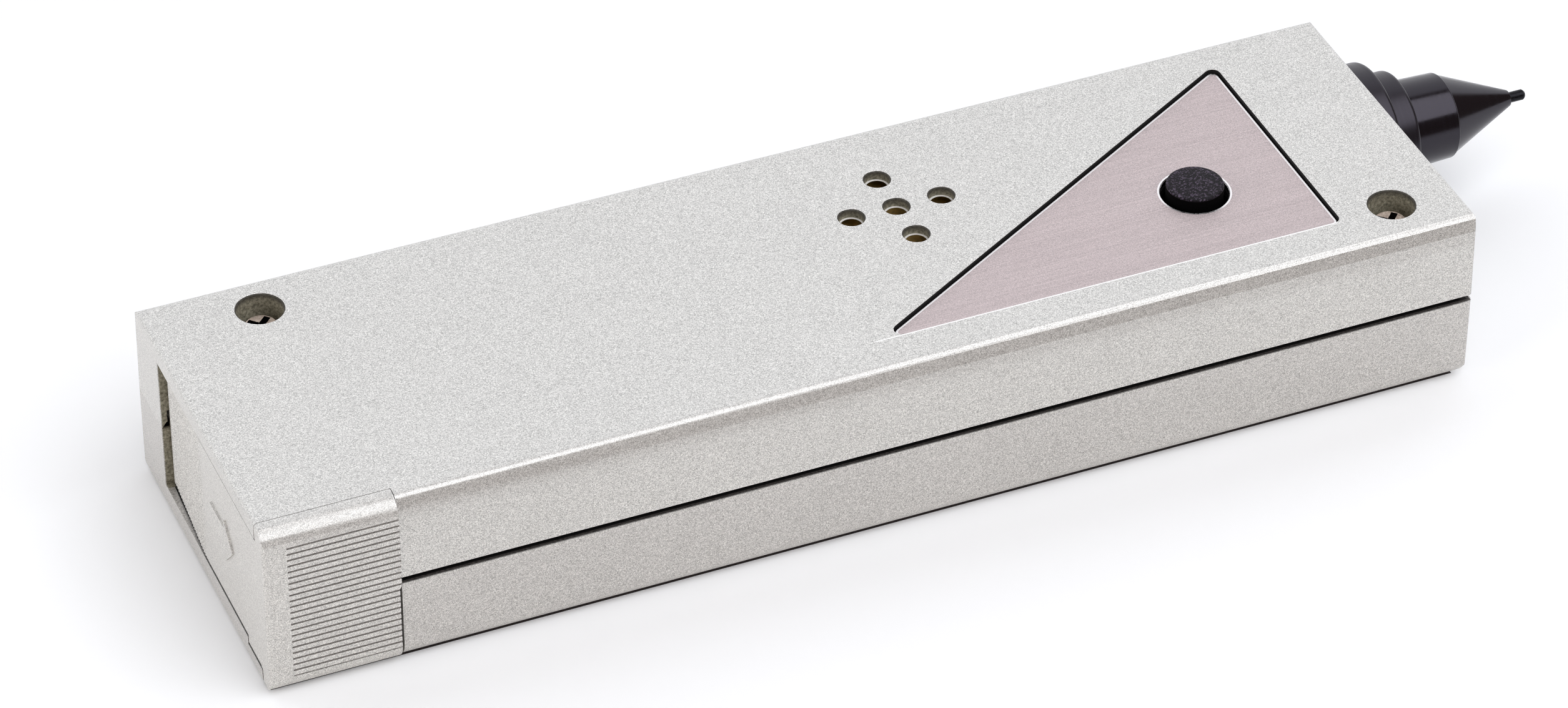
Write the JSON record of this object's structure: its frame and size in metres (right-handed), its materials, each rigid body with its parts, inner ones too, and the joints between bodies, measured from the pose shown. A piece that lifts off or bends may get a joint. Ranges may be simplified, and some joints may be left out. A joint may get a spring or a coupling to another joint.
{
  "type": "diamond tester",
  "caption": "Slim handheld diamond tester with a sprung contact probe, a touch plate with a push button, a thumbwheel and a sliding battery door.",
  "frame": {"origin": "centre of the casing's flat front face, which it rests on, at the middle of the casing's length and width", "axes": "+X from the battery door (tail) to the probe (head), +Y from the near side to the thumbwheel side, +Z from the front face up to the rear face with the touch plate and button"},
  "size_m": [0.1636, 0.043, 0.0225],
  "materials": {
    "casing_paint": "fine-grained satin silver-grey metallic paint on moulded plastic",
    "touch_plate": "brushed along the body, with a faint warm tint",
    "black_plastic": "matt black moulded plastic, finely grained on the button",
    "probe_black": "semi-gloss black turned plastic",
    "probe_metal": "dark semi-gloss coated contact pin",
    "screw_brass": "copper-coloured plating, cross recess",
    "brass": "plain rolled disc",
    "steel": "bright plated",
    "ceramic": "off-white, matt",
    "board": "green solder resist on glass-fibre board",
    "battery_jacket": "plain dark jacket over a metal can",
    "capacitor_sleeve": "dark shrunk sleeve",
    "window": "smoked red translucent plastic",
    "lamp": "tinted translucent epoxy",
    "lead_red": "red insulation",
    "lead_black": "black insulation"
  },
  "bodies": {
    "housing": {"rear_shell": "casing_paint", "front_shell": "casing_paint", "touch_plate": "touch_plate", "case_screw_tail": "screw_brass", "case_screw_head": "screw_brass", "circuit_board": "board", "board_screw_1": "steel", "board_screw_2": "steel", "board_screw_3": "steel", "board_screw_4": "steel", "control_chip": "black_plastic", "capacitor_1": "capacitor_sleeve", "capacitor_2": "capacitor_sleeve", "capacitor_3": "capacitor_sleeve", "switch_body": "black_plastic", "button_spring": "steel", "sounder_disc": "brass", "sounder_ceramic": "ceramic", "contact_spring": "steel", "dial_potentiometer": "steel", "battery_case": "battery_jacket", "battery_stud": "steel", "battery_socket": "steel", "battery_snap": "black_plastic", "battery_lead_red": "lead_red", "battery_lead_black": "lead_black", "bar_window": "window", "diamond_window": "window", "moissanite_window": "window", "bar_lamp_1": "lamp", "bar_lamp_2": "lamp", "bar_lamp_3": "lamp", "bar_lamp_4": "lamp", "bar_lamp_5": "lamp", "bar_lamp_6": "lamp", "bar_lamp_7": "lamp", "bar_lamp_8": "lamp", "bar_lamp_9": "lamp", "bar_lamp_10": "lamp", "diamond_lamp": "lamp", "moissanite_lamp": "lamp", "probe_collar": "probe_black", "probe_sleeve": "probe_black", "probe_nose": "probe_black", "probe_plug": "probe_black", "probe_spring": "steel", "probe_lead_near": "lead_red", "probe_lead_far": "lead_red"},
    "battery_door": {"battery_door": "casing_paint"},
    "power_button": {"power_button": "black_plastic", "switch_plunger": "ceramic"},
    "probe_tip": {"probe_tip": "probe_metal"},
    "sensitivity_dial": {"sensitivity_dial": "black_plastic"}
  },
  "joints": [
    {"name": "door_slide", "type": "slide", "parent": "housing", "child": "battery_door", "axis": [0, -1, 0], "range_m": [0, 0.036]},
    {"name": "button_press", "type": "slide", "parent": "housing", "child": "power_button", "axis": [0, 0, -1], "range_m": [0, 0.0006], "stiffness_N_per_m": 900, "springref_m": -0.0006, "deforming": ["button_spring"]},
    {"name": "tip_press", "type": "slide", "parent": "housing", "child": "probe_tip", "axis": [-1, 0, 0], "range_m": [0, 0.0015], "stiffness_N_per_m": 600, "springref_m": -0.001, "deforming": ["probe_spring"]},
    {"name": "dial_turn", "type": "hinge", "parent": "housing", "child": "sensitivity_dial", "pos_m": [0.02, 0.0142, 0.006], "axis": [0, 0, 1], "range_deg": [-140, 140]}
  ]
}
